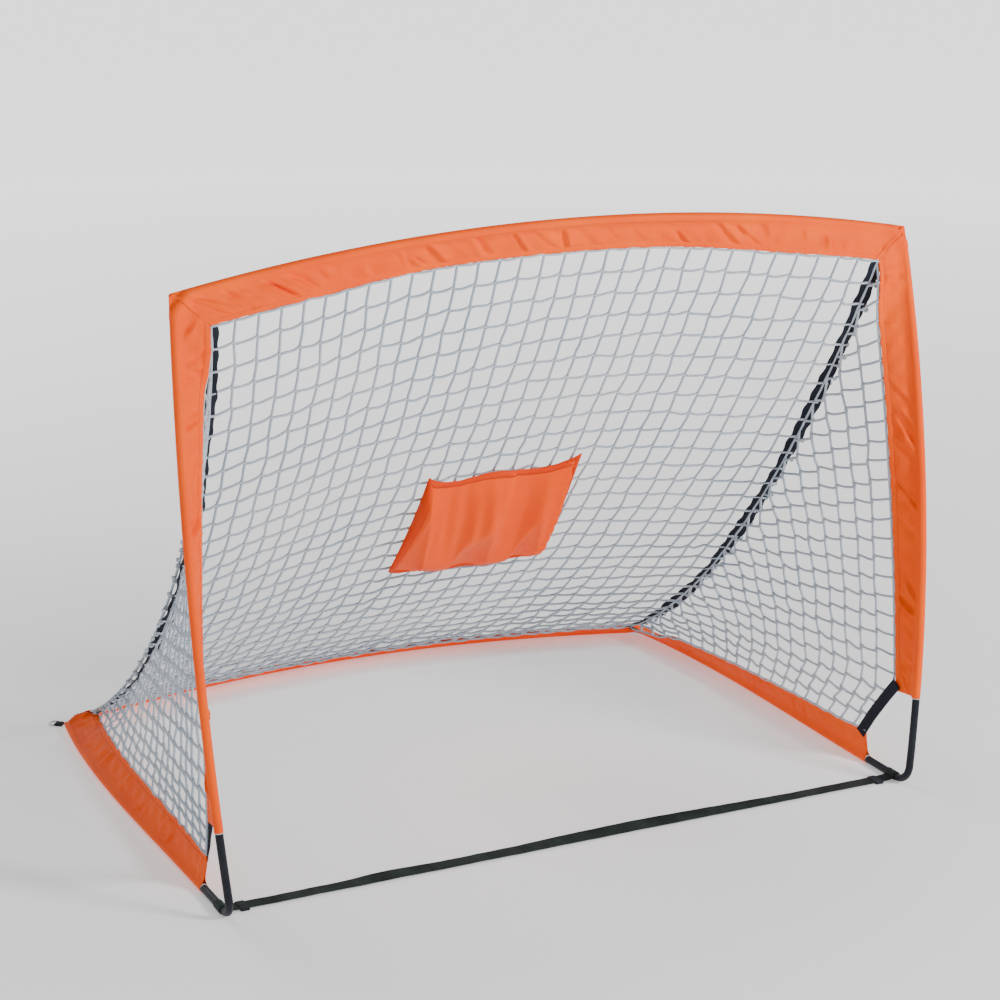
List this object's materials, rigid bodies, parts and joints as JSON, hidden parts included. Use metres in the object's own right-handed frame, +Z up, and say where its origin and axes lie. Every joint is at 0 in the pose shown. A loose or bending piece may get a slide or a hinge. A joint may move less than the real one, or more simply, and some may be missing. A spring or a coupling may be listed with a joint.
{
  "type": "soccer goal",
  "caption": "Small portable soccer goal: a hoop of plug-together rods in fabric sleeves, bent corner tubes, a sloping net, a ground strap and a cloth target panel.",
  "frame": {"origin": "on the floor, under the middle of the overall box", "axes": "+X across the mouth to the right as a player facing the goal sees it, +Y from the mouth to the back, +Z up"},
  "size_m": [1.2824, 0.9984, 0.9918],
  "materials": {
    "black_steel": "satin black powder coat",
    "slider_steel": "satin black",
    "ring_steel": "plated wire",
    "zinc_steel": "zinc plated",
    "fibreglass": "pultruded glass fibre",
    "orange_fabric": "coated woven polyester",
    "target_fabric": "coated woven polyester",
    "net_twine": "knotted polyethylene twine",
    "black_webbing": "polypropylene webbing",
    "strap_webbing": "polypropylene webbing"
  },
  "bodies": {
    "ground_frame": {"side_rod_front_left": "fibreglass", "side_rod_front_right": "fibreglass", "side_rod_rear_left": "fibreglass", "side_rod_rear_right": "fibreglass", "side_ferrule_left": "zinc_steel", "side_ferrule_right": "zinc_steel", "rear_elbow_left": "zinc_steel", "rear_elbow_right": "zinc_steel", "rear_rod_left": "fibreglass", "rear_rod_right": "fibreglass", "rear_ferrule_left": "zinc_steel", "rear_ferrule_right": "zinc_steel", "rear_rod_middle": "fibreglass", "side_sleeve_left": "orange_fabric", "side_sleeve_right": "orange_fabric", "rear_sleeve": "orange_fabric", "back_net": "net_twine", "side_net_left": "net_twine", "side_net_right": "net_twine", "seam_tape_left": "black_webbing", "seam_tape_right": "black_webbing", "corner_strap_left": "black_webbing", "corner_strap_right": "black_webbing", "target_panel": "target_fabric", "anchor_tab_left": "black_webbing", "anchor_tab_right": "black_webbing"},
    "mouth_frame": {"corner_tube_left": "black_steel", "corner_tube_right": "black_steel", "post_rod_lower_left": "fibreglass", "post_rod_lower_right": "fibreglass", "post_rod_upper_left": "fibreglass", "post_rod_upper_right": "fibreglass", "post_ferrule_left": "zinc_steel", "post_ferrule_right": "zinc_steel", "top_elbow_left": "zinc_steel", "top_elbow_right": "zinc_steel", "crossbar_rod_left": "fibreglass", "crossbar_rod_right": "fibreglass", "crossbar_ferrule_left": "zinc_steel", "crossbar_ferrule_right": "zinc_steel", "crossbar_rod_middle": "fibreglass", "post_sleeve_left": "orange_fabric", "post_sleeve_right": "orange_fabric", "crossbar_sleeve": "orange_fabric", "ground_strap": "strap_webbing"},
    "anchor_ring_left": {"anchor_ring_left": "ring_steel"},
    "anchor_ring_right": {"anchor_ring_right": "ring_steel"},
    "strap_slider_left": {"strap_slider_left": "slider_steel"},
    "strap_slider_right": {"strap_slider_right": "slider_steel"}
  },
  "joints": [
    {"name": "mouth_pull", "type": "slide", "parent": "ground_frame", "child": "mouth_frame", "axis": [0, -1, 0], "range_m": [0, 0.04]},
    {"name": "ring_swing_left", "type": "hinge", "parent": "ground_frame", "child": "anchor_ring_left", "pos_m": [-0.59653, 0.40237, 0.00215], "axis": [0.6395, 0.7688, 0], "range_deg": [0, 150]},
    {"name": "ring_swing_right", "type": "hinge", "parent": "ground_frame", "child": "anchor_ring_right", "pos_m": [0.59653, 0.40237, 0.00215], "axis": [0.6395, -0.7688, 0], "range_deg": [0, 150]},
    {"name": "slider_travel_left", "type": "slide", "parent": "mouth_frame", "child": "strap_slider_left", "axis": [1, 0, 0], "range_m": [0, 0.1]},
    {"name": "slider_travel_right", "type": "slide", "parent": "mouth_frame", "child": "strap_slider_right", "axis": [-1, 0, 0], "range_m": [0, 0.1]}
  ]
}
